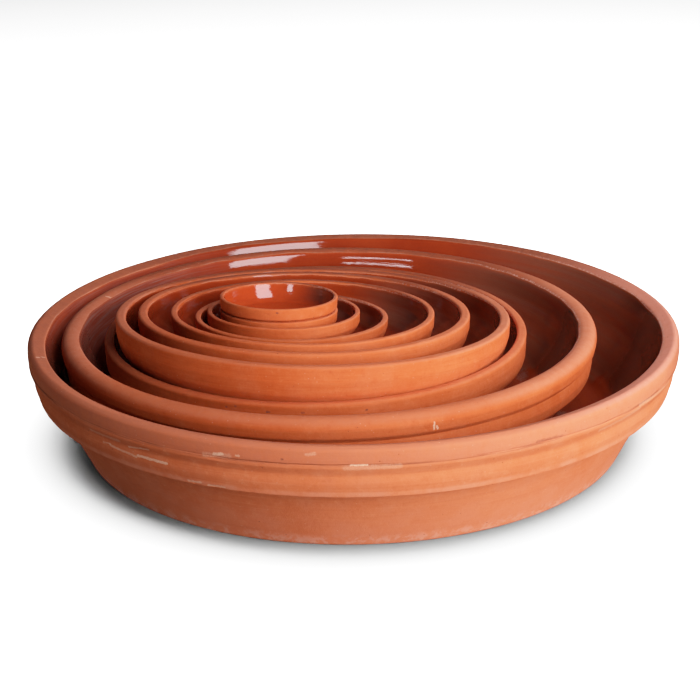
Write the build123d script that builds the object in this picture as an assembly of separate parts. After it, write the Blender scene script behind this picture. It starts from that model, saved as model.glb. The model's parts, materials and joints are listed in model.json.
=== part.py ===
from build123d import *
import math
import os

# A nest of ten round terracotta plant saucers, each one standing in the next.
# Every saucer is one fired piece of clay: flat foot, flared lower wall, nearly
# upright band, rounded lip, dished inside with a flat floor.
# Units: mm.  +Z up.  Origin: centre of the outermost saucer's flat underside.

# ---------------------------------------------------------------- dimensions
SEAT = 0.3                      # air left between a foot and the floor it stands on

# overall lip radius and height of each saucer
R55, H55 = 272.2, 96.4          # 54 cm saucer, two-step rolled rim
R45, H45 = 225.4, 78.8          # 45 cm saucer, thick rolled lip over a second band
R36, H36 = 179.4, 57.6          # 36 cm saucer
R33, H33 = 166.0, 53.8          # 33 cm saucer
R28, H28 = 140.3, 46.6          # 28 cm saucer
R22, H22 = 111.0, 40.0          # 22 cm saucer
R16, H16 = 81.6, 27.4           # 16 cm saucer
R13, H13 = 65.0, 24.3           # 13 cm saucer
R10, H10 = 50.1, 20.85          # 10 cm saucers (two alike)

# floor thickness of each saucer
F55, F45, F36, F33, F28, F22, F16, F13, F10 = 16.0, 13.0, 9.0, 8.5, 7.5, 6.5, 5.5, 5.0, 4.5

# where each saucer stands, measured from the axis of the one it stands in
OFF45 = (-20.1, 3.5)            # in the 54 cm saucer
OFF36 = (-11.6, 4.6)            # in the 45 cm saucer
# the 33 cm saucer is a tight fit in the 36 cm one: its back edge is down on the
# floor and its front wall leans on the 36 cm lip, so it sits tilted
LIP33 = (-33.3, 0.1, 103.45)    # centre of its lip plane
LEAN_X, LEAN_Y = 1.6, 4.0       # degrees: left side up, front side up
OFF28 = (-7.65, 2.65)           # in the 33 cm saucer, along its own floor
OFF22 = (-1.1, -7.9)
OFF16 = (-9.5, 3.3)
OFF13 = (-7.1, 7.4)
OFF10 = (-4.1, -3.0)
STACK10 = 11.3                  # lip-to-lip step of the two stacked 10 cm saucers


# ---------------------------------------------------------------- one saucer
def saucer(points):
    """points: (radius, height, corner radius), from the centre of the underside,
    up the outside, over the lip and down the inside to the centre of the floor."""
    line = FilletPolyline(*[(r, z) for r, z, _ in points],
                          radius=[c for _, _, c in points], close=True)
    face = Plane.XZ * make_face(line.edges())
    return revolve(face, Axis.Z, 360)


def plain(R, H, lip, foot, knee, band, floor_r, F, inner_knee, s):
    """Plain saucer: foot radius, knee where the flared wall turns up, upright
    band, rounded lip of width `lip`, floor of radius floor_r and thickness F."""
    return [(0, 0, 0),
            (foot, 0, 2.2 * s),
            (knee[0], knee[1], knee[2]),
            (band[0], band[1], band[2]),
            (R, H, lip * 0.33),
            (R - lip, H, lip * 0.27),
            (inner_knee[0], inner_knee[1], inner_knee[2]),
            (floor_r, F, 7.5 * s),
            (0, F, 0)]


profiles = {}

profiles["saucer_54cm_outer"] = [
    (0, 0, 0),
    (228.9, 0, 2.5),            # foot
    (254.6, 55.0, 0.5),         # top of the flared body, under the band
    (265.6, 55.6, 0.9),         # sharp lower edge of the lower band
    (268.6, 66.5, 14.0),
    (268.6, 73.6, 5.0),         # hollow between the two bands
    (271.7, 79.8, 4.0),
    (R55, 86.0, 9.0),           # rolled lip
    (271.8, 93.8, 4.0),         # outer shoulder of the lip
    (267.3, H55 + 0.35, 3.8),   # crest
    (257.4, 93.0, 3.6),         # inner edge of the lip
    (250.8, 79.0, 30.0),
    (243.6, 60.0, 40.0),
    (226.5, 32.5, 30.0),
    (213.5, F55, 10.0),
    (0, F55, 0)]

profiles["saucer_45cm"] = [
    (0, 0, 0),
    (186.0, 0, 2.5),
    (214.6, 42.6, 0.8),
    (221.0, 44.2, 1.1),         # lower edge of the second band
    (222.2, 52.0, 8.0),
    (221.5, 59.8, 1.2),         # crease under the rolled lip
    (224.3, 63.6, 4.5),
    (R45, 69.8, 8.0),
    (R45, H45, 8.0),
    (R45 - 16.3, H45, 8.0),
    (204.8, 60.0, 24.0),
    (196.5, 44.0, 30.0),
    (181.5, 26.0, 25.0),
    (166.8, F45, 10.0),
    (0, F45, 0)]

profiles["saucer_36cm"] = [
    (0, 0, 0),
    (149.4, 0, 2.5),
    (178.7, 35.3, 12.0),
    (R36, H36, 2.8),
    (R36 - 8.4, H36, 2.3),
    (170.4, 38.6, 11.0),
    (145.9, F36, 8.0),
    (0, F36, 0)]

profiles["saucer_33cm"] = plain(R33, H33, 8.8, 145.0, (163.2, 30.0, 14), (165.8, 41.0, 8),
                                140.2, F33, (156.4, 36.0, 10), 1.1)
profiles["saucer_28cm"] = plain(R28, H28, 8.5, 122.5, (137.9, 26.0, 12), (140.1, 35.5, 7),
                                117.4, F28, (131.4, 31.0, 8), 1.0)
profiles["saucer_22cm"] = plain(R22, H22, 5.9, 96.0, (108.6, 22.0, 10), (110.8, 30.5, 6),
                                92.8, F22, (104.7, 27.0, 7), 0.85)
profiles["saucer_16cm"] = plain(R16, H16, 5.1, 69.5, (79.6, 14.5, 6), (81.3, 20.0, 4),
                                67.2, F16, (76.1, 18.0, 5), 0.7)
profiles["saucer_13cm"] = plain(R13, H13, 4.3, 53.0, (62.6, 10.6, 4), (64.8, 15.2, 3),
                                51.7, F13, (60.4, 14.6, 4), 0.6)


def ten(R):
    return [(0, 0, 0),
            (43.7, 0, 1.3),
            (45.85, 8.2, 2.0),
            (45.85, 9.6, 0.8),      # step that carries it when two are stacked
            (49.3, 11.1, 1.3),
            (R, H10, 1.3),
            (R - 3.5, H10, 1.1),
            (46.3, 18.8, 8.0),      # the wall leans in and curves down to the floor
            (44.9, 13.0, 16.0),
            (42.8, 7.5, 8.0),
            (39.5, F10, 4.0),
            (0, F10, 0)]


profiles["saucer_10cm_lower"] = ten(R10)
profiles["saucer_10cm_top"] = ten(R10 - 0.1)

# ---------------------------------------------------------------- placing
upright = Location((0, 0, 0))
tx, ty = math.tan(math.radians(LEAN_X)), math.tan(math.radians(LEAN_Y))
k = math.sqrt(1 + tx * tx + ty * ty)
N = Vector(tx / k, ty / k, 1 / k)                    # axis of the tilted saucers
lean = Plane(origin=(0, 0, 0), x_dir=Vector(1, 0, 0) - N * N.X, z_dir=N)

place = {}
place["saucer_54cm_outer"] = upright
x, y, z = OFF45[0], OFF45[1], F55 + SEAT
place["saucer_45cm"] = Location((x, y, z))
x, y, z = x + OFF36[0], y + OFF36[1], z + F45 + SEAT
place["saucer_36cm"] = Location((x, y, z))

foot33 = Vector(*LIP33) - N * H33
base = {"saucer_33cm": (0.0, 0.0, 0.0)}
chain = [("saucer_33cm", "saucer_28cm", OFF28, F33),
         ("saucer_28cm", "saucer_22cm", OFF22, F28),
         ("saucer_22cm", "saucer_16cm", OFF16, F22),
         ("saucer_16cm", "saucer_13cm", OFF13, F16),
         ("saucer_13cm", "saucer_10cm_lower", OFF10, F13)]
for below, above, off, floor in chain:
    u, v, w = base[below]
    base[above] = (u + off[0], v + off[1], w + floor + SEAT)
u, v, w = base["saucer_10cm_lower"]
base["saucer_10cm_top"] = (u, v, w + STACK10)        # rests on the lower one's lip

for name, (u, v, w) in base.items():
    o = foot33 + lean.x_dir * u + lean.y_dir * v + N * w
    place[name] = Plane(origin=o, x_dir=lean.x_dir, z_dir=N).location

# ---------------------------------------------------------------- write
os.makedirs("parts", exist_ok=True)
for name, points in profiles.items():
    solid = place[name] * saucer(points)
    export_step(solid, f"parts/{name}.step")
    p = place[name].position
    print(f"{name:20s} foot centre {p.X:8.3f} {p.Y:8.3f} {p.Z:8.3f}  volume {solid.volume/1000:8.1f} cm3")
print("axis of the tilted saucers", N.X, N.Y, N.Z)
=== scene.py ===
import json
import math
import bpy
import bmesh
import numpy as np
from mathutils import Matrix, Vector

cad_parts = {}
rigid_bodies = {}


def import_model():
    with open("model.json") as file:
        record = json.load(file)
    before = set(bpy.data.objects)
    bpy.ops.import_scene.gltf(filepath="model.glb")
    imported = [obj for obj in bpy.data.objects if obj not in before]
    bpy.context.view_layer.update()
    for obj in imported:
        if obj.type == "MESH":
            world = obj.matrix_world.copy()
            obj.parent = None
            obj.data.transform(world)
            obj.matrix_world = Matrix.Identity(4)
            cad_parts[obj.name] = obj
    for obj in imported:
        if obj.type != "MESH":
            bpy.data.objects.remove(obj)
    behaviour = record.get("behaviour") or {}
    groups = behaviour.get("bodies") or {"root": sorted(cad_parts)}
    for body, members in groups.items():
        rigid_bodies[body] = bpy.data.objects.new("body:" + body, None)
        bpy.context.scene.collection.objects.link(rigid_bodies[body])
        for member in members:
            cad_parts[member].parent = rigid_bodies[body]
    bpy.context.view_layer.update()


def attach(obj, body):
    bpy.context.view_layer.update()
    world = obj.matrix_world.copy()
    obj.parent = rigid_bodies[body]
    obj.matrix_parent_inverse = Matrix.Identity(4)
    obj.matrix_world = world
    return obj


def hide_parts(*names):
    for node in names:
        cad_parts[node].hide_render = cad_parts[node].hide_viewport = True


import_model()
scene = bpy.context.scene

# ---------------------------------------------------------------- camera
# (first, so that the rest can be judged against it)
DIST, ELEV, TX, TZ, ROLL, FPX = 1.30790445, 0.398328933, -0.00285, 0.0676765583, -0.0146006669, 1501.0
C = Vector((0, -DIST * math.cos(ELEV), DIST * math.sin(ELEV)))
fwd = (Vector((TX, 0, TZ)) - C).normalized()
right = fwd.cross(Vector((0, 0, 1))).normalized()
up = right.cross(fwd)
r2 = math.cos(ROLL) * right + math.sin(ROLL) * up
u2 = -math.sin(ROLL) * right + math.cos(ROLL) * up
cam_data = bpy.data.cameras.new("camera")
cam = bpy.data.objects.new("camera", cam_data)
scene.collection.objects.link(cam)
m = Matrix((r2, u2, -fwd)).transposed().to_4x4()
m.translation = C
cam.matrix_world = m
cam_data.sensor_width = 36.0
cam_data.lens = 36.0 * FPX / 700.0
cam_data.clip_start, cam_data.clip_end = 0.05, 60
scene.camera = cam

# ---------------------------------------------------------------- profiles (mm), as in the CAD
def plain(R, H, lip, foot, knee, band, floor_r, F, ik, s):
    return [(0, 0, 0), (foot, 0, 2.2 * s), knee, band, (R, H, lip * 0.33), (R - lip, H, lip * 0.27), ik,
            (floor_r, F, 7.5 * s), (0, F, 0)]


def ten(R):
    return [(0, 0, 0), (43.7, 0, 1.3), (45.85, 8.2, 2.0), (45.85, 9.6, 0.8), (49.3, 11.1, 1.3), (R, 20.85, 1.3),
            (R - 3.5, 20.85, 1.1), (46.3, 18.8, 8.0), (44.9, 13.0, 16.0), (42.8, 7.5, 8.0), (39.5, 4.5, 4.0), (0, 4.5, 0)]


PROFILES = {
    "saucer_54cm_outer": [(0, 0, 0), (228.9, 0, 2.5), (254.6, 55.0, 0.5), (265.6, 55.6, 0.9), (268.6, 66.5, 14.0),
                          (268.6, 73.6, 5.0), (271.7, 79.8, 4.0), (272.2, 86.0, 9.0), (271.8, 93.8, 4.0),
                          (267.3, 96.75, 3.8), (257.4, 93.0, 3.6), (250.8, 79.0, 30.0), (243.6, 60.0, 40.0),
                          (226.5, 32.5, 30.0), (213.5, 16.0, 10.0), (0, 16.0, 0)],
    "saucer_45cm": [(0, 0, 0), (186.0, 0, 2.5), (214.6, 42.6, 0.8), (221.0, 44.2, 1.1), (222.2, 52.0, 8.0),
                    (221.5, 59.8, 1.2), (224.3, 63.6, 4.5), (225.4, 69.8, 8.0), (225.4, 78.8, 8.0),
                    (209.1, 78.8, 8.0), (204.8, 60.0, 24.0), (196.5, 44.0, 30.0), (181.5, 26.0, 25.0),
                    (166.8, 13.0, 10.0), (0, 13.0, 0)],
    "saucer_36cm": [(0, 0, 0), (149.4, 0, 2.5), (178.7, 35.3, 12.0), (179.4, 57.6, 2.8), (171.0, 57.6, 2.3),
                    (170.4, 38.6, 11.0), (145.9, 9.0, 8.0), (0, 9.0, 0)],
    "saucer_33cm": plain(166.0, 53.8, 8.8, 145.0, (163.2, 30.0, 14), (165.8, 41.0, 8), 140.2, 8.5, (156.4, 36.0, 10), 1.1),
    "saucer_28cm": plain(140.3, 46.6, 8.5, 122.5, (137.9, 26.0, 12), (140.1, 35.5, 7), 117.4, 7.5, (131.4, 31.0, 8), 1.0),
    "saucer_22cm": plain(111.0, 40.0, 5.9, 96.0, (108.6, 22.0, 10), (110.8, 30.5, 6), 92.8, 6.5, (104.7, 27.0, 7), 0.85),
    "saucer_16cm": plain(81.6, 27.4, 5.1, 69.5, (79.6, 14.5, 6), (81.3, 20.0, 4), 67.2, 5.5, (76.1, 18.0, 5), 0.7),
    "saucer_13cm": plain(65.0, 24.3, 4.3, 53.0, (62.6, 10.6, 4), (64.8, 15.2, 3), 51.7, 5.0, (60.4, 14.6, 4), 0.6),
    "saucer_10cm_lower": ten(50.1),
    "saucer_10cm_top": ten(50.0),
}
SPOTS = {
    "saucer_54cm_outer": ((177.5, -26.0, 16.0, 6.0, 0.7), (186.0, -36.0, 16.0, 3.5, 1.0)),
    "saucer_45cm": ((168.5, 22.0, 15.5, 5.5, 0.45),),
}
LEVEL = (0.0, 0.0, 1.0)
LEAN = (0.027853675847793108, 0.06972940900683203, 0.9971770064844676)
# foot centre (mm), axis, number of segments round
PLACE = {
    "saucer_54cm_outer": ((0, 0, 0), LEVEL, 640),
    "saucer_45cm": ((-20.1, 3.5, 16.3), LEVEL, 560),
    "saucer_36cm": ((-31.7, 8.1, 29.6), LEVEL, 512),
    "saucer_33cm": ((-34.799, -3.651, 49.802), LEAN, 512),
    "saucer_28cm": ((-42.2, -0.379, 58.605), LEAN, 448),
    "saucer_22cm": ((-43.083, -7.714, 66.964), LEAN, 400),
    "saucer_16cm": ((-52.39, -3.93, 73.779), LEAN, 360),
    "saucer_13cm": ((-59.325, 3.871, 79.244), LEAN, 320),
    "saucer_10cm_lower": ((-63.276, 1.255, 84.852), LEAN, 320),
    "saucer_10cm_top": ((-62.961, 2.043, 96.12), LEAN, 400),
}


def outline(points, step):
    """Fillet every corner and lay points along the line. Returns rows of (r, z)."""
    P = [np.array(p[:2], float) for p in points]
    rad = [p[2] for p in points]
    pts = [P[0]]
    for i in range(1, len(P) - 1):
        a, b, c, R = P[i - 1], P[i], P[i + 1], rad[i]
        u, v = (a - b) / np.linalg.norm(a - b), (c - b) / np.linalg.norm(c - b)
        ang = math.acos(max(-1, min(1, float(u @ v))))
        if R <= 0 or ang > math.pi - 1e-4:
            pts.append(b)
            continue
        d = R / math.tan(ang / 2)
        w = (u + v) / np.linalg.norm(u + v)
        o = b + w * (R / math.sin(ang / 2))
        s, e = b + u * d - o, b + v * d - o
        a0, a1 = math.atan2(s[1], s[0]), math.atan2(e[1], e[0])
        da = (a1 - a0 + math.pi) % (2 * math.pi) - math.pi
        n = max(3, int(math.ceil(abs(da) * R / step(b))), int(math.ceil(abs(da) / 0.30)))
        for k in range(n + 1):
            t = a0 + da * k / n
            pts.append(o + R * np.array([math.cos(t), math.sin(t)]))
    pts.append(P[-1])
    out = [pts[0]]
    for q in pts[1:]:
        a = out[-1]
        L = np.linalg.norm(q - a)
        if L < 0.02:
            continue
        st = step((a + q) / 2)
        n = max(1, int(math.ceil(L / st)))
        for k in range(1, n + 1):
            out.append(a + (q - a) * k / n)
    return np.array(out)


def fourier(rng, n, kmin, kmax, falloff=1.0):
    """Seeded smooth noise round a circle, about -1..1."""
    ks = rng.integers(kmin, kmax + 1, n)
    ph = rng.uniform(0, 2 * math.pi, n)
    am = rng.uniform(0.4, 1.0, n) / np.maximum(1, ks / max(kmin, 1)) ** falloff
    tot = np.sqrt((am ** 2).sum())

    def f(th):
        th = np.asarray(th)
        return sum(a * np.cos(k * th + p) for a, k, p in zip(am, ks, ph)) / tot / 1.2
    return f


def smooth(x, a, b):
    t = np.clip((x - a) / (b - a), 0, 1)
    return t * t * (3 - 2 * t)


def angdist(a, b):
    return (a - b + math.pi) % (2 * math.pi) - math.pi


# small real damage: (node, angle in degrees from +X, r, z, radius along, radius across, depth), mm
CHIPS = [
    ("saucer_54cm_outer", 8.0, 272.0, 88.0, 4.0, 2.5, 1.0),
    ("saucer_54cm_outer", 175.5, 268.0, 96.4, 5.0, 2.5, 0.5),
    ("saucer_54cm_outer", 249.2, 272.0, 81.6, 5.5, 1.5, 0.6),
    ("saucer_54cm_outer", 244.8, 265.8, 56.4, 5.0, 1.3, 0.6),
    ("saucer_54cm_outer", 248.6, 265.8, 56.2, 7.0, 1.3, 0.7),
    ("saucer_54cm_outer", 301.0, 272.0, 83.2, 9.0, 1.0, 0.5),
    ("saucer_45cm", 286.0, 225.0, 74.0, 2.5, 3.0, 0.5),
    ("saucer_45cm", 236.0, 217.0, 78.8, 3.5, 2.0, 0.35),
    ("saucer_33cm", 205.0, 166.0, 44.0, 3.0, 1.6, 0.45),
    ("saucer_36cm", 285.0, 178.5, 56.0, 2.6, 1.4, 0.4),
    ("saucer_36cm", 250.0, 179.4, 50.0, 2.4, 1.4, 0.4),
    ("saucer_10cm_top", 262.0, 50.0, 16.5, 1.6, 0.8, 0.35),
]


def build(name, seed):
    foot, axis, segs = PLACE[name]
    pts = PROFILES[name]
    rng = np.random.default_rng(seed)
    R = max(p[0] for p in pts)
    H = max(p[1] for p in pts)
    floor_z = pts[-1][1]
    floor_r = pts[-2][0]
    big = R > 200
    fine = 1.75 if big else (1.35 if R > 120 else (0.95 if R > 75 else 0.6))

    def step(p):
        r, z = p
        if z < 0.5 and r < pts[1][0] - 4:
            return 24.0 if big else R / 8
        if abs(z - floor_z) < 0.3 and r < floor_r - 8:
            return 11.0 if big else R / 12
        if name == "saucer_54cm_outer" and 79.5 < z < 87 and r > 266:
            return 0.36
        return fine

    L = outline(pts, step)
    n = len(L)
    # arc length and outward normal in the (r, z) plane
    seg = np.linalg.norm(np.diff(L, axis=0), axis=1)
    s = np.concatenate([[0], np.cumsum(seg)])
    T = np.gradient(L, s, axis=0)
    T /= np.linalg.norm(T, axis=1)[:, None]
    N = np.stack([T[:, 1], -T[:, 0]], 1)
    crest = int(np.argmax(L[:, 1] - 0.001 * np.abs(L[:, 0] - R)))
    side = np.where(s > s[crest], 1.0, -1.0)

    th = np.linspace(0, 2 * math.pi, segs, endpoint=False)
    TH, S = np.meshgrid(th, s)                          # rows: along the profile
    RR, ZZ = np.repeat(L[:, 0][:, None], segs, 1), np.repeat(L[:, 1][:, None], segs, 1)

    # handmade unevenness, always into the clay
    amp = 0.00085 * R + 0.06
    w1, w2, w3 = fourier(rng, 5, 2, 5), fourier(rng, 8, 5, 16), fourier(rng, 12, 16, 44, 0.6)
    v1, v2 = fourier(rng, 5, 2, 6), fourier(rng, 8, 4, 15)
    hgt = ZZ / H
    wall = smooth(RR, floor_r * 0.90, floor_r * 1.03)
    dep = amp * (0.55 + 0.45 * w1(TH)) * smooth(hgt, 0.25, 1.0)
    dep = dep + 0.45 * amp * (0.5 + 0.5 * w2(TH + 0.35 * np.sin(hgt * 5))) + 0.16 * amp * (0.5 + 0.5 * w3(TH - 0.2 * hgt))
    lip = np.exp(-((S - s[crest]) / (0.055 * R + 2)) ** 2)
    dep = dep + lip * amp * (0.35 + 0.35 * v1(TH) + 0.2 * v2(TH))
    # shallow turning ridges on the walls
    ridge = np.sin(S * (2 * math.pi / (0.022 * R + 2.2)) + 1.5 * v1(TH)) * (0.035 + 0.00012 * R)
    dep = dep + (ridge + 0.035 + 0.00012 * R) * 0.5 * wall
    dep *= wall * smooth(ZZ, 0.4, 4.0)
    dep = np.where((side[:, None] > 0) & (ZZ < floor_z + 1.5), dep * 0.2, dep)

    if name == "saucer_54cm_outer":
        # the seam where the rolled lip was folded down on to the wall
        g1, g2 = fourier(rng, 9, 2, 14), fourier(rng, 10, 12, 60, 0.3)
        front = np.exp(-(angdist(TH, math.radians(276)) / 0.16) ** 2)
        depth = np.clip(0.50 + 0.42 * g1(TH) + 0.26 * g2(TH), 0.05, 1.1) * (1 - 0.6 * front)
        zc = 82.9 + 0.35 * g1(TH + 1.0)
        out_side = (RR > 266)
        dep = dep + np.where(out_side, depth * np.exp(-((ZZ - zc) / 0.45) ** 2), 0)
        dep = dep + np.where(out_side, 0.18 * (1 + g1(TH + 2)) * smooth(ZZ, 82.0, 84.0) * smooth(-ZZ, -90.0, -85.0), 0)
    if name == "saucer_45cm":
        g1 = fourier(rng, 9, 3, 18)
        dep = dep + np.where(RR > 218, 0.25 * np.clip(0.6 + 0.6 * g1(TH), 0, 1.2) * np.exp(-((ZZ - 60.4) / 0.9) ** 2), 0)

    for node, deg, cr, cz, la, lc, d in CHIPS:
        if node != name:
            continue
        da = angdist(TH, math.radians(deg)) * cr
        jag = 1 + 0.35 * np.sin(da * 2.1 + deg) + 0.25 * np.sin(da * 4.3)
        q = (da / la) ** 2 + ((RR - cr) ** 2 + (ZZ - cz) ** 2) / (lc * jag) ** 2
        dep = dep + d * np.exp(-q ** 1.6)

    dep = np.clip(dep, 0, None)
    RD = RR - N[:, 0][:, None] * dep
    ZD = ZZ - N[:, 1][:, None] * dep
    RD[0], RD[-1] = 0, 0

    X, Y = RD * np.cos(TH) / 1000, RD * np.sin(TH) / 1000
    V = np.stack([X[1:-1], Y[1:-1], ZD[1:-1] / 1000], -1).reshape(-1, 3)
    rows = n - 2
    verts = [tuple(v) for v in V]
    verts.append((0, 0, float(ZD[0].mean()) / 1000))
    verts.append((0, 0, float(ZD[-1].mean()) / 1000))
    idx = np.arange(rows * segs).reshape(rows, segs)
    a, b = idx[:-1], idx[1:]
    quads = np.stack([a, np.roll(a, -1, 1), np.roll(b, -1, 1), b], -1).reshape(-1, 4)
    faces = [tuple(int(i) for i in q) for q in quads]
    bot, top = rows * segs, rows * segs + 1
    for k in range(segs):
        k2 = (k + 1) % segs
        faces.append((bot, int(idx[0][k2]), int(idx[0][k])))
        faces.append((top, int(idx[-1][k]), int(idx[-1][k2])))
    me = bpy.data.meshes.new(name + "_visual")
    me.from_pydata(verts, [], faces)
    bm = bmesh.new()
    bm.from_mesh(me)
    bmesh.ops.recalc_face_normals(bm, faces=bm.faces)
    bm.to_mesh(me)
    bm.free()
    me.polygons.foreach_set("use_smooth", [True] * len(me.polygons))

    # glaze: distance in mm past its edge, which wanders a little round the inner lip
    inner = np.where(side > 0)[0]
    if name == "saucer_54cm_outer":
        s_mid = s[inner[np.argmin(np.abs(L[inner, 0] - 257.2))]]
        edge = s_mid - 3.6 * smooth(np.sin(th), 0.55, 0.98) * (0.8 + 0.2 * w2(th))
    elif name == "saucer_45cm":
        s_mid = s[inner[np.argmin(np.abs(L[inner, 0] - 209.6))]]
        edge = s_mid + 0.0 * th
    else:
        s_mid = s[inner[np.argmin(np.abs(L[inner, 1] - (H - 0.012 * R - 0.7)))]]
        edge = s_mid + 0.0 * th
    g_amp = 0.0022 * R + 0.25
    edge = edge + g_amp * (0.6 * w2(th + 1) + 0.5 * w3(th + 2))
    glz = (S - edge[None, :])
    glz = np.where(side[:, None] < 0, -40.0, glz)
    glz = np.clip(glz, -40, 400)
    # how much the surface faces up, close to the lip
    rim = smooth(N[:, 1], *((0.45, 0.95) if name == "saucer_54cm_outer" else (0.15, 0.75))) * np.exp(-((s - s[crest]) / (0.07 * R + 3)) ** 4)
    rim = np.repeat(rim[:, None], segs, 1)

    def attribute(label, arr, ends):
        at = me.attributes.new(label, "FLOAT", "POINT")
        at.data.foreach_set("value", np.concatenate([arr[1:-1].ravel(), ends]).astype(np.float32))
    attribute("glaze", glz, [-40.0, float(glz[-1].max())])
    attribute("rim", rim, [0.0, 0.0])
    attribute("run", S, [0.0, float(s[-1])])

    ob = bpy.data.objects.new(name + "_clay", me)
    scene.collection.objects.link(ob)
    ax = Vector(axis)
    xd = (Vector((1, 0, 0)) - ax * ax.x).normalized()
    yd = ax.cross(xd)
    M = Matrix((xd, yd, ax)).transposed().to_4x4()
    M.translation = Vector(foot) / 1000
    ob.matrix_world = M
    return ob


# ---------------------------------------------------------------- materials
class G:
    """Small helper for writing node graphs."""

    def __init__(self, name):
        self.mat = bpy.data.materials.new(name)
        self.mat.use_nodes = True
        self.t = self.mat.node_tree
        self.t.nodes.clear()
        self.x = 0

    def node(self, kind, **props):
        nd = self.t.nodes.new(kind)
        self.x += 40
        nd.location = (self.x, -self.x % 500)
        for k, v in props.items():
            setattr(nd, k, v)
        return nd

    def put(self, sock, v):
        if hasattr(v, "is_linked"):
            self.t.links.new(v, sock)
        elif isinstance(v, (tuple, list)):
            sock.default_value = v if len(v) == len(sock.default_value) else (*v, 1.0)
        else:
            sock.default_value = v

    def math(self, op, a, b=None, c=None, clamp=False):
        nd = self.node("ShaderNodeMath", operation=op, use_clamp=clamp)
        for i, v in enumerate((a, b, c)):
            if v is not None:
                self.put(nd.inputs[i], v)
        return nd.outputs[0]

    def vec(self, op, a, b=None, scale=None):
        nd = self.node("ShaderNodeVectorMath", operation=op)
        self.put(nd.inputs[0], a)
        if b is not None:
            self.put(nd.inputs[1], b)
        if scale is not None:
            self.put(nd.inputs["Scale"], scale)
        return nd.outputs["Value"] if op in ("LENGTH", "DOT_PRODUCT", "DISTANCE") else nd.outputs[0]

    def step(self, x, a, b, lo=0.0, hi=1.0):
        nd = self.node("ShaderNodeMapRange", interpolation_type="SMOOTHSTEP")
        for i, v in enumerate((x, a, b, lo, hi)):
            self.put(nd.inputs[i], v)
        return nd.outputs[0]

    def noise(self, vec, scale, detail=2.0, rough=0.5, dist=0.0, seed=0.0):
        nd = self.node("ShaderNodeTexNoise", noise_dimensions="3D")
        self.put(nd.inputs["Vector"], self.vec("ADD", vec, (seed * 1.37, seed * 0.71, seed * 2.11)) if seed else vec)
        self.put(nd.inputs["Scale"], scale)
        self.put(nd.inputs["Detail"], detail)
        self.put(nd.inputs["Roughness"], rough)
        self.put(nd.inputs["Distortion"], dist)
        return nd.outputs[0]

    def voronoi(self, vec, scale, feature="F1", rnd=1.0):
        nd = self.node("ShaderNodeTexVoronoi", feature=feature)
        self.put(nd.inputs["Vector"], vec)
        self.put(nd.inputs["Scale"], scale)
        self.put(nd.inputs["Randomness"], rnd)
        return nd

    def mix(self, fac, a, b, mode="MIX"):
        nd = self.node("ShaderNodeMix", data_type="RGBA", blend_type=mode)
        self.put(nd.inputs[0], fac)
        self.put(nd.inputs[6], a)
        self.put(nd.inputs[7], b)
        return nd.outputs[2]

    def attr(self, label):
        return self.node("ShaderNodeAttribute", attribute_name=label).outputs["Fac"]

    def xyz(self, x, y, z):
        nd = self.node("ShaderNodeCombineXYZ")
        for i, v in enumerate((x, y, z)):
            self.put(nd.inputs[i], v)
        return nd.outputs[0]


# pale scuffs and dark marks: degrees, mm along the profile, degrees, mm, half width in mm, strength (< 0 is dark)
MARKS = {
    "saucer_54cm_outer": (270.0, [
        (228.3, 314.6, 234.2, 312.4, 0.9, 0.50),
        (232.7, 318.6, 237.1, 322.0, 0.8, 0.50),
        (234.5, 313.7, 240.2, 313.7, 1.1, 0.75),
        (226.8, 315.0, 228.5, 315.4, 0.7, 0.45),
        (223.9, 321.0, 230.9, 321.5, 1.3, 0.28),
        (249.0, 330.2, 250.3, 331.3, 1.2, 0.80),
        (247.4, 328.9, 251.4, 330.6, 1.9, 0.22),
        (252.5, 330.9, 252.9, 331.3, 0.9, 0.50),
        (243.7, 302.1, 245.8, 302.6, 0.9, 0.55),
        (247.1, 301.4, 249.8, 301.8, 1.0, 0.50),
        (263.0, 335.9, 264.2, 336.8, 1.3, 0.28),
        (259.4, 331.7, 259.5, 331.7, 0.9, -0.80),
        (269.4, 328.6, 271.8, 328.6, 0.7, 0.65),
        (268.5, 326.0, 276.5, 326.6, 2.0, 0.22),
        (311.2, 322.5, 322.0, 324.5, 1.7, 0.18),
        (321.8, 327.5, 334.5, 324.9, 1.8, 0.20),
        (298.1, 330.2, 302.8, 329.6, 1.2, -0.50),
        (198.4, 345.8, 198.2, 347.6, 1.3, 0.55),
        (197.6, 351.0, 197.5, 352.6, 1.2, 0.50),
    ]),
    "saucer_45cm": (225.0, [
        (290.18, 271.5, 290.25, 265.2, 0.75, 0.85),
        (290.75, 267.6, 291.0, 265.4, 0.8, 0.80),
        (160.2, 288.1, 159.4, 292.4, 1.0, 0.55),
    ]),
    "saucer_36cm": (178.0, [
        (248.8, 211.4, 249.0, 211.4, 0.8, -0.75),
        (251.2, 212.9, 251.4, 212.9, 0.7, -0.75),
        (259.2, 210.4, 259.8, 210.4, 0.9, -0.80),
        (267.8, 210.6, 268.1, 210.6, 0.8, -0.75),
        (283.1, 210.3, 283.4, 210.3, 0.8, -0.75),
    ]),
    "saucer_10cm_top": (49.0, [
        (270.4, 63.8, 271.6, 63.6, 0.75, -0.85),
    ]),
}


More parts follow.
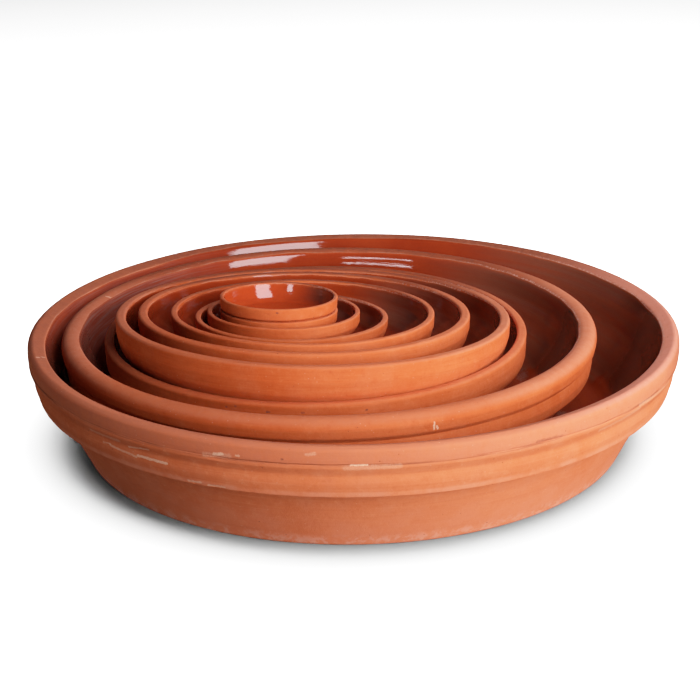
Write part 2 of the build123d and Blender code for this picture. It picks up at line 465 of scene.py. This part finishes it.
def clay_material(name, seed, hue, deep, outer, dusty, reflection_streaks, haze_level, spots, floor_z, top_z, marks=None):
    """Raw clay outside and on the lip, brown-red glaze inside. hue multiplies the clay colour, deep the glaze;
    outer is True for the big outermost saucer, whose roll and foot are dustier and which is painted paler towards the
    right; dusty is how strongly the lip takes its dusty colour with its painted light and shade, reflection_streaks
    how strong the painted reflection streaks are, haze_level how pale the painted reflection haze is, spots (x, y, z,
    radius, stretch) of limescale crumbs in mm, floor_z and top_z the heights of the inside floor and of the lip in mm."""
    g = G(name)
    tc = g.node("ShaderNodeTexCoord").outputs["Object"]
    sep = g.node("ShaderNodeSeparateXYZ")
    g.put(sep.inputs[0], tc)
    px, py, pz = sep.outputs
    glz, rim, run = g.attr("glaze"), g.attr("rim"), g.attr("run")
    mm = g.vec("SCALE", tc, scale=1000.0)                  # object space in mm
    zmm = g.math("MULTIPLY", pz, 1000.0)
    r = g.math("SQRT", g.math("ADD", g.math("MULTIPLY", px, px), g.math("MULTIPLY", py, py)))
    r = g.math("MAXIMUM", r, 0.0005)
    cx, cy = g.math("DIVIDE", px, r), g.math("DIVIDE", py, r)
    # long noise that runs round the pot, as a forming tool leaves it
    band = g.xyz(g.math("MULTIPLY", cx, 1.3), g.math("MULTIPLY", cy, 1.3), g.math("MULTIPLY", run, 0.16))
    band_f = g.xyz(g.math("MULTIPLY", cx, 4.5), g.math("MULTIPLY", cy, 4.5), g.math("MULTIPLY", run, 0.75))

    n_big = g.noise(mm, 0.011, 3.0, 0.55, 0.3, seed)
    n_mid = g.noise(mm, 0.045, 4.0, 0.6, 0.0, seed + 3)
    n_sand = g.noise(mm, 0.14, 4.0, 0.68, 0.2, seed + 5)
    n_fine = g.noise(mm, 0.55, 3.0, 0.6, 0.0, seed + 7)
    n_grain = g.noise(mm, 1.7, 2.0, 0.6, 0.0, seed + 9)
    n_band = g.noise(band, 1.0, 3.0, 0.6, 0.2, seed + 11)
    n_bandf = g.noise(band_f, 1.0, 3.0, 0.65, 0.0, seed + 13)

    def tint(c):
        return tuple(v * h + (0.009 if k and outer else 0.0) for k, (v, h) in enumerate(zip(c, hue)))

    # --- raw clay
    col = g.mix(g.step(n_big, 0.36, 0.66), tint((0.555, 0.108, 0.032)), tint((0.625, 0.142, 0.052)))
    col = g.mix(g.math("MULTIPLY", g.step(n_mid, 0.46, 0.72), 0.50), col, tint((0.590, 0.150, 0.068)))
    col = g.mix(g.math("MULTIPLY", g.step(n_band, 0.50, 0.75), 0.40), col, tint((0.490, 0.088, 0.025)))
    col = g.mix(g.math("MULTIPLY", g.step(n_sand, 0.50, 0.78), 0.42), col, tint((0.700, 0.200, 0.092)))
    col = g.mix(g.math("MULTIPLY", g.step(n_sand, 0.48, 0.24), 0.36), col, tint((0.440, 0.074, 0.020)))
    col = g.mix(g.math("MULTIPLY", g.step(n_bandf, 0.52, 0.80), 0.34), col, tint((0.700, 0.200, 0.090)))
    col = g.mix(g.math("MULTIPLY", g.step(n_bandf, 0.47, 0.25), 0.28), col, tint((0.430, 0.075, 0.022)))
    col = g.mix(g.math("MULTIPLY", g.step(n_fine, 0.50, 0.80), 0.26), col, tint((0.430, 0.080, 0.024)))
    if outer:
        # dusty pink roll, with painted light making it paler towards the right; pale bloom low on the body, also
        # painted paler towards the right; a painted highlight along the sharp edge of the band
        side = g.step(cx, -0.35, 0.75)
        roll = g.step(g.math("ADD", zmm, g.math("MULTIPLY", g.math("SUBTRACT", n_mid, 0.5), 3.0)), 79.0, 84.0)
        pink = g.mix(side, (0.470, 0.118, 0.058), (0.560, 0.158, 0.088))
        col = g.mix(g.math("MULTIPLY", roll, g.step(n_sand, 0.25, 0.70, 0.50, 0.92)), col, pink)
        # painted light: paler towards the right over the whole saucer
        col = g.mix(g.math("MULTIPLY", side, g.step(n_mid, 0.25, 0.75, 0.10, 0.42)), col, (0.600, 0.165, 0.080))
        # pale bloom low on the body, painted paler towards the right
        low = g.math("MULTIPLY", g.step(zmm, 52.0, 8.0), g.step(n_mid, 0.25, 0.65, 0.30, 0.75))
        col = g.mix(low, col, g.mix(side, (0.610, 0.158, 0.078), (0.650, 0.185, 0.098)))
        foot = g.math("MULTIPLY", g.step(zmm, 13.0, 1.5), g.step(n_sand, 0.44, 0.62, 0.05, 0.75))
        col = g.mix(foot, col, (0.660, 0.270, 0.190))
        # painted highlight: a pale line along the sharp lower edge of the band
        edge = g.math("MULTIPLY", g.step(run, 299.6, 301.6), g.step(run, 306.0, 303.2))
        col = g.mix(g.math("MULTIPLY", edge, g.step(n_mid, 0.35, 0.62, 0.10, 0.42)), col, (0.660, 0.240, 0.150))
    else:
        # painted shade and light: darker and redder on the left, bluer on the right
        col = g.mix(1.0, col, g.mix(g.step(cx, -0.95, 0.45), (0.82, 0.72, 0.70), (1.0, 1.04, 1.35)), "MULTIPLY")
    # the lip's top is dusty; its colour there also carries painted light and shade: paler and pinker on the right,
    # darker at the back, and on the big outer saucer darker on the left
    right_side = g.step(cx, 0.35, 0.95)
    left_side = g.step(cx, -0.70, -1.0)
    back = g.step(cy, 0.2, 0.8)
    if outer:
        dust_and_light = g.mix(right_side, (0.430, 0.120, 0.066), (0.680, 0.250, 0.190))
        dust_and_light = g.mix(left_side, dust_and_light, (0.250, 0.070, 0.042))
    else:
        dust_and_light = g.mix(right_side, (0.430, 0.116, 0.060), (0.560, 0.200, 0.125))
        dust_and_light = g.mix(left_side, dust_and_light, (0.480, 0.165, 0.105))
    dust_and_light = g.mix(back, dust_and_light, (0.200, 0.052, 0.030))
    amount = 0.80 if outer else dusty
    amount = g.mix(back, (amount, amount, amount), (0.95, 0.95, 0.95))
    col = g.mix(g.math("MULTIPLY", g.math("MULTIPLY", rim, amount), g.step(n_sand, 0.2, 0.75, 0.65, 1.0)), col, dust_and_light)
    if outer:
        # darker on the outward face of the roll at the far right
        far_right_dark = g.math("MULTIPLY", g.math("SUBTRACT", 1.0, rim), g.step(cx, 0.86, 0.98, 0.0, 0.85))
        col = g.mix(g.math("MULTIPLY", far_right_dark, roll), col, (0.370, 0.098, 0.052))
    # specks: grog and burnt bits
    vo = g.voronoi(g.vec("ADD", mm, (seed * 3.1, 0, seed)), 0.150)
    sc = g.node("ShaderNodeSeparateColor")
    g.put(sc.inputs[0], vo.outputs["Color"])
    size = g.step(sc.outputs[0], 0.55, 1.0, 0.0, 0.105)
    speck = g.step(g.math("ADD", vo.outputs["Distance"], g.math("MULTIPLY", g.math("SUBTRACT", n_grain, 0.5), 0.05)),
                   g.math("MULTIPLY", size, 0.5), g.math("ADD", size, 0.004), 1.0, 0.0)
    speck = g.math("MULTIPLY", speck, g.step(sc.outputs[0], 0.55, 0.62))
    col = g.mix(g.math("MULTIPLY", speck, 0.72), col, (0.16, 0.045, 0.022))
    vo2 = g.voronoi(g.vec("ADD", mm, (0, seed * 2.3, 5.0)), 0.30)
    sc2 = g.node("ShaderNodeSeparateColor")
    g.put(sc2.inputs[0], vo2.outputs["Color"])
    fl = g.math("MULTIPLY", g.step(vo2.outputs["Distance"], 0.10, 0.16, 1.0, 0.0), g.step(sc2.outputs[1], 0.72, 0.86))
    col = g.mix(g.math("MULTIPLY", fl, 0.24), col, (0.74, 0.36, 0.24))
    if outer:
        # a darker line in the seam under the roll
        seam = g.math("MULTIPLY", g.step(run, 326.9, 328.0), g.step(run, 329.6, 328.5))
        col = g.mix(g.math("MULTIPLY", seam, g.step(n_bandf, 0.36, 0.60, 0.75, 0.0)), col, (0.150, 0.042, 0.020))

    # --- placed marks
    if marks:
        R, rows = marks
        ang = g.math("ARCTAN2", g.math("MULTIPLY", py, -1.0), g.math("MULTIPLY", px, -1.0))     # 0 at -X
        ang = g.math("ADD", ang, math.pi)                                                       # 0 to 2 pi from +X
        p = g.xyz(g.math("ADD", g.math("MULTIPLY", ang, R), g.math("MULTIPLY", g.math("SUBTRACT", n_fine, 0.5), 1.6)),
                  g.math("ADD", run, g.math("MULTIPLY", g.math("SUBTRACT", n_sand, 0.5), 2.2)), 0.0)
        ragged = g.math("SUBTRACT", n_fine, 0.45)
        broken = g.step(n_grain, 0.30, 0.55, 0.25, 1.0)
        for d0, s0, d1, s1, hw, strength in rows:
            A = (math.radians(d0) * R, s0, 0.0)
            ab = (math.radians(d1 - d0) * R, s1 - s0, 0.0)
            w = g.vec("SUBTRACT", p, A)
            k = g.math("DIVIDE", g.vec("DOT_PRODUCT", w, ab), max(ab[0] ** 2 + ab[1] ** 2, 1e-6), clamp=True)
            d = g.vec("LENGTH", g.vec("SUBTRACT", w, g.vec("SCALE", ab, scale=k)))
            m = g.step(g.math("SUBTRACT", d, g.math("MULTIPLY", ragged, hw * 1.5)), hw * 0.4, hw * 1.3, 1.0, 0.0)
            m = g.math("MULTIPLY", m, broken)
            col = g.mix(g.math("MULTIPLY", m, abs(strength)), col, (0.80, 0.46, 0.32) if strength > 0 else (0.14, 0.045, 0.03))

    # --- glaze over the same clay
    gl = g.mix(g.step(n_big, 0.35, 0.68), (0.370, 0.036, 0.0060), (0.450, 0.052, 0.0100))
    gl = g.mix(g.math("MULTIPLY", g.step(n_band, 0.48, 0.78), 0.45), gl, (0.270, 0.022, 0.004))
    gl = g.mix(g.math("MULTIPLY", g.step(n_sand, 0.50, 0.80), 0.22), gl, (0.240, 0.020, 0.004))
    gl = g.mix(g.math("MULTIPLY", g.step(n_fine, 0.55, 0.85), 0.18), gl, (0.20, 0.016, 0.004))
    gl = g.mix(g.math("MULTIPLY", speck, 0.5), gl, (0.07, 0.015, 0.008))
    gl = g.mix(1.0, gl, (deep, deep ** 1.15, deep ** 1.15), "MULTIPLY")
    # a thin greyish haze painted on the glaze as reflected light: on the right it ends in a wavy edge, on the left it
    # is streaked
    zn = g.math("DIVIDE", g.math("SUBTRACT", zmm, floor_z), top_z - floor_z)
    haze_edge = g.math("ADD", cy, g.math("ADD", g.math("MULTIPLY", zn, 0.35), g.math("MULTIPLY", g.math("SUBTRACT", n_mid, 0.5), 0.22)))
    reflection_haze = g.math("MULTIPLY", g.step(haze_edge, 0.16, 0.21), g.step(cx, 0.34, 0.80))
    reflection_haze = g.math("MULTIPLY", reflection_haze, g.step(n_band, 0.30, 0.70, 0.55, 0.95))
    reflection_haze = g.math("MULTIPLY", reflection_haze, g.step(zmm, floor_z + 0.5, floor_z + 6.0))
    gl = g.mix(reflection_haze, gl, tuple(v * haze_level for v in (0.235, 0.066, 0.036)))
    if reflection_streaks:
        # painted reflection: greyish streaks on the inner wall on the left, stronger higher up
        reflection_streak = g.math("MULTIPLY", g.step(cx, -0.35, -0.90), g.step(n_bandf, 0.36, 0.70, 0.25 * reflection_streaks, 0.95 * reflection_streaks))
        gl = g.mix(g.math("MULTIPLY", reflection_streak, g.step(zn, 0.30, 0.80, 0.35, 1.0)), gl, (0.250, 0.110, 0.092))
    # painted shade: the glaze darkened low on the inner wall, most towards the front
    shade = g.math("MULTIPLY", g.step(cy, 0.25, -0.45), g.step(zmm, floor_z + 3.0, floor_z + 12.0))
    shade = g.math("MULTIPLY", shade, 0.82)
    if spots:
        # painted shade: the glaze is darkest low on the right of the two big saucers
        right = g.math("MULTIPLY", g.step(cy, 0.36, 0.04), g.step(cy, -0.85, -0.25, 0.45, 1.0))
        right = g.math("MULTIPLY", g.math("MULTIPLY", right, g.step(cx, 0.30, 0.75)), g.step(zmm, floor_z + 7.0, floor_z + 13.0))
        shade = g.math("MAXIMUM", shade, g.math("MULTIPLY", right, 0.86))
    gl = g.mix(shade, gl, (0.055, 0.007, 0.002))
    # crumbs of lime where the wall meets the floor
    for sx, sy, sz, rad, ex in spots:
        w = g.vec("SUBTRACT", mm, (sx, sy, sz))
        d = g.vec("LENGTH", g.vec("MULTIPLY", w, (1.0, ex, 1.0)))
        d = g.math("ADD", d, g.math("MULTIPLY", g.math("SUBTRACT", n_fine, 0.5), rad * 2.6))
        gl = g.mix(g.math("MULTIPLY", g.step(d, rad * 0.2, rad * 1.3, 0.55, 0.0), g.step(n_grain, 0.35, 0.60, 0.15, 1.0)), gl, (0.33, 0.21, 0.17))
    wob = g.math("ADD", g.math("MULTIPLY", g.math("SUBTRACT", n_mid, 0.5), 1.6), g.math("MULTIPLY", g.math("SUBTRACT", n_fine, 0.5), 1.1))
    gd = g.math("ADD", glz, wob)
    mask = g.step(gd, -0.25, 0.35)
    # a thin pale line where the glaze thins out
    line = g.math("MULTIPLY", g.step(gd, -1.3, -0.2), g.step(gd, 0.1, 0.9, 1.0, 0.0))
    col = g.mix(g.math("MULTIPLY", line, g.step(n_mid, 0.35, 0.7, 0.05, 0.40)), col, (0.66, 0.30, 0.21))
    # paler pinkish grey just outside the glaze edge, on the right only
    pale_right_edge = g.math("MULTIPLY", g.step(gd, -2.6, -0.6), g.step(n_fine, 0.44, 0.60))
    col = g.mix(g.math("MULTIPLY", pale_right_edge, g.step(cx, 0.45, 0.95, 0.0, 0.60)), col, (0.74, 0.42, 0.36))
    thin = g.step(gd, 0.0, 2.2, 0.45, 0.0)
    gl = g.mix(thin, gl, (0.50, 0.085, 0.026))
    base = g.mix(mask, col, gl)

    rough = g.step(n_fine, 0.25, 0.8, 0.72, 0.92)

    # --- bump: grain and pits in the clay, slow waviness in the glaze that lies over it
    h_clay = g.math("ADD", g.math("MULTIPLY", n_grain, 0.10), g.math("MULTIPLY", n_fine, 0.22))
    h_clay = g.math("ADD", h_clay, g.math("MULTIPLY", n_bandf, 0.16))
    h_clay = g.math("ADD", h_clay, g.math("MULTIPLY", n_sand, 0.30))
    h_clay = g.math("SUBTRACT", h_clay, g.math("MULTIPLY", speck, 0.12))
    bump = g.node("ShaderNodeBump")
    bump.inputs["Strength"].default_value = 0.7
    bump.inputs["Distance"].default_value = 0.001
    g.put(bump.inputs["Height"], g.math("ADD", h_clay, g.math("MULTIPLY", mask, 0.12)))
    h_gl = g.math("ADD", g.math("MULTIPLY", n_bandf, 0.06), g.math("MULTIPLY", n_fine, 0.006))
    h_gl = g.math("ADD", h_gl, g.math("MULTIPLY", n_mid, 0.25))
    h_gl = g.math("ADD", h_gl, g.math("MULTIPLY", g.step(gd, -0.3, 1.6), 0.15))
    skin = g.node("ShaderNodeBump")
    skin.inputs["Strength"].default_value = 0.6
    skin.inputs["Distance"].default_value = 0.001
    g.put(skin.inputs["Height"], h_gl)

    bs = g.node("ShaderNodeBsdfPrincipled")
    g.put(bs.inputs["Base Color"], base)
    g.put(bs.inputs["Roughness"], rough)
    g.put(bs.inputs["Normal"], bump.outputs[0])
    bs.inputs["IOR"].default_value = 1.5
    bs.inputs["Specular IOR Level"].default_value = 0.08
    g.put(bs.inputs["Coat Weight"], mask)
    bs.inputs["Coat Roughness"].default_value = 0.045
    bs.inputs["Coat IOR"].default_value = 1.52
    g.put(bs.inputs["Coat Normal"], skin.outputs[0])
    out = g.node("ShaderNodeOutputMaterial")
    g.t.links.new(bs.outputs[0], out.inputs[0])
    return g.mat


# per saucer below: painted reflection streaks on the left of the two biggest, and the level of the painted reflection
# haze
for i, name in enumerate(PLACE):
    ob = build(name, 100 + 17 * i)
    mat = clay_material("terracotta_" + name.split("_", 1)[1], 1.0 + 4.3 * i, (1, 1, 1) if i == 0 else (0.97, 0.80, 0.55),
                        1.0 if "10cm" in name else 0.68, i == 0, (0, 0.70, 0.35, 0.62, 0.40, 0.40, 0.40, 0.40, 0.35, 0.35)[i],
                        (0.45, 0.85, 0, 0, 0, 0, 0, 0, 0, 0)[i], (1, 1, 1, 1, 1.7, 1.25, 0.9, 0.9, 1, 1)[i], SPOTS.get(name, ()),
                        PROFILES[name][-1][1], max(q[1] for q in PROFILES[name]), MARKS.get(name))
    ob.data.materials.append(mat)
    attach(ob, name)
    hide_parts(name)

# ---------------------------------------------------------------- studio
def area(name, az, el, dist, w, h, power, color=(1, 1, 1), target=(0, 0, 0.05), spread=180):
    """Softbox: az is degrees to the right of the front, el degrees above the floor."""
    a, e = math.radians(az), math.radians(el)
    t = Vector(target)
    pos = t + dist * Vector((math.sin(a) * math.cos(e), -math.cos(a) * math.cos(e), math.sin(e)))
    ld = bpy.data.lights.new(name, "AREA")
    ld.shape, ld.size, ld.size_y, ld.energy, ld.color = "RECTANGLE", w, h, power, color
    ld.spread = math.radians(spread)
    lo = bpy.data.objects.new(name, ld)
    scene.collection.objects.link(lo)
    z = (pos - t).normalized()
    x = Vector((0, 0, 1)).cross(z).normalized()
    y = z.cross(x)
    mm = Matrix((x, y, z)).transposed().to_4x4()
    mm.translation = pos
    lo.matrix_world = mm
    return lo


key = area("key_softbox", 38, 19, 1.5, 1.06, 1.02, 45, (1.0, 0.985, 0.97))
for fill in (key, area("side_softbox", 76, 26, 1.7, 0.8, 0.7, 3.0, (1.0, 0.98, 0.965)),
             area("left_fill", -80, 1.5, 2.0, 1.7, 0.32, 7.0, (1.0, 0.97, 0.95)),
             area("back_fill", 172, 16, 1.9, 1.5, 0.7, 11.0, (1.0, 0.985, 0.97)),
             area("overhead_softbox", 80, 66, 1.05, 0.5, 0.5, 4.4, (1.0, 0.98, 0.965), target=(0.05, 0, 0.08))):
    fill.visible_glossy = False
# what the glaze sees of the lights: the face of the key softbox, a window strip on the left with its sill,
# and a long low strip; each shows only in the saucers named
for args, seen_in in (
        (("key_face", 38, 27, 1.75, 1.03, 1.63, 53, (0.94, 0.95, 1.0)), ()),
        (("window_strip", -24, 21, 1.75, 0.31, 0.50, 4.9, (0.95, 0.95, 1.0)), tuple(n for n in PLACE if n != "saucer_45cm")),
        (("window_sill", -24, 2.0, 1.75, 0.31, 0.10, 1.0, (0.95, 0.95, 1.0)), ("saucer_10cm_top",)),
        (("low_strip", -26, 15, 1.75, 1.10, 0.11, 6.2, (0.95, 0.95, 1.0)), ("saucer_45cm",))):
    glint = area(*args)
    glint.visible_diffuse = False
    if seen_in:
        c = bpy.data.collections.new("lit_by_" + args[0])
        for n in seen_in:
            c.objects.link(bpy.data.objects[n + "_clay"])
        glint.light_linking.receiver_collection = c


def sweep(name, albedo, all_round):
    """A seamless sweep: a floor that curves up into a back wall, or into a wall all round."""
    me = bpy.data.meshes.new(name)
    bm = bmesh.new()
    if all_round:
        rows = [(1.2 * k, 0.0) for k in range(1, 6)]
        rows += [(6.0 + 2.5 * math.sin(k / 16 * math.pi / 2), 2.5 - 2.5 * math.cos(k / 16 * math.pi / 2)) for k in range(1, 17)]
        rows.append((8.5, 6.0))
        grid = [[bm.verts.new((q * math.cos(a), q * math.sin(a), z)) for a in np.linspace(0, 2 * math.pi, 96, endpoint=False)]
                for q, z in rows]
        bm.faces.new(grid[0]).smooth = True
        for a, b in zip(grid[:-1], grid[1:]):
            for k in range(96):
                bm.faces.new((a[k], b[k], b[(k + 1) % 96], a[(k + 1) % 96])).smooth = True
    else:
        rows = [(-3.0 + 0.5 * k, 0.0) for k in range(13)]
        rows += [(3.0 + 1.5 * math.sin(k / 12 * math.pi / 2), 1.5 - 1.5 * math.cos(k / 12 * math.pi / 2)) for k in range(1, 13)]
        rows.append((4.5, 3.0))
        grid = [[bm.verts.new((x, y, z)) for x in np.linspace(-5, 5, 11)] for y, z in rows]
        for a, b in zip(grid[:-1], grid[1:]):
            for k in range(10):
                bm.faces.new((a[k], a[k + 1], b[k + 1], b[k])).smooth = True
    bm.to_mesh(me)
    bm.free()
    ob = bpy.data.objects.new(name, me)
    scene.collection.objects.link(ob)
    g = G(name + "_paint")
    bs = g.node("ShaderNodeBsdfPrincipled")
    n = g.noise(g.node("ShaderNodeTexCoord").outputs["Object"], 3.0, 2.0)
    g.put(bs.inputs["Base Color"], g.mix(n, (albedo * 0.98, albedo * 0.98, albedo * 0.98), (albedo, albedo, albedo * 0.995)))
    bs.inputs["Roughness"].default_value = 0.9
    bs.inputs["Specular IOR Level"].default_value = 0.1
    out = g.node("ShaderNodeOutputMaterial")
    g.t.links.new(bs.outputs[0], out.inputs[0])
    me.materials.append(g.mat)
    return ob


# The paper is lit brighter than the clay, as a backdrop is, by a wash that falls on it alone. What it
# throws back on to the clay comes from a darker twin that only diffuse light meets.
paper = sweep("studio_floor", 0.82, True)
paper.visible_diffuse = False
paper.visible_glossy = False
paper.visible_shadow = False
bounce = sweep("studio_bounce", 0.09, False)
bounce.visible_camera = False
bounce.visible_shadow = False
wash = area("backdrop_wash", 55, 82, 2.6, 3.3, 3.3, 640)
only_paper = bpy.data.collections.new("lit_by_wash")
only_paper.objects.link(paper)
wash.light_linking.receiver_collection = only_paper

world = bpy.data.worlds.new("studio")
scene.world = world
world.use_nodes = True
bg = world.node_tree.nodes["Background"]
bg.inputs[0].default_value = (0.9, 0.95, 1.0, 1)
bg.inputs[1].default_value = 0.035

# display: plain, with a soft shoulder so that bright clay keeps its colour
scene.view_settings.view_transform = "Standard"
scene.view_settings.look = "None"
scene.view_settings.exposure = 0.0
scene.view_settings.gamma = 1.0
scene.view_settings.use_curve_mapping = True
cm = scene.view_settings.curve_mapping
cm.white_level = (2.0, 2.0, 2.0)
cm.clip_max_x, cm.clip_max_y = 1.0, 1.0
curve = cm.curves[3]
for x, y in ((0.265, 0.53), (0.35, 0.645), (0.43, 0.735), (0.515, 0.81), (0.605, 0.865), (0.70, 0.91)):
    curve.points.new(x, y)
curve.points[0].location = (0, 0)
curve.points[len(curve.points) - 1].location = (1, 1)
cm.update()
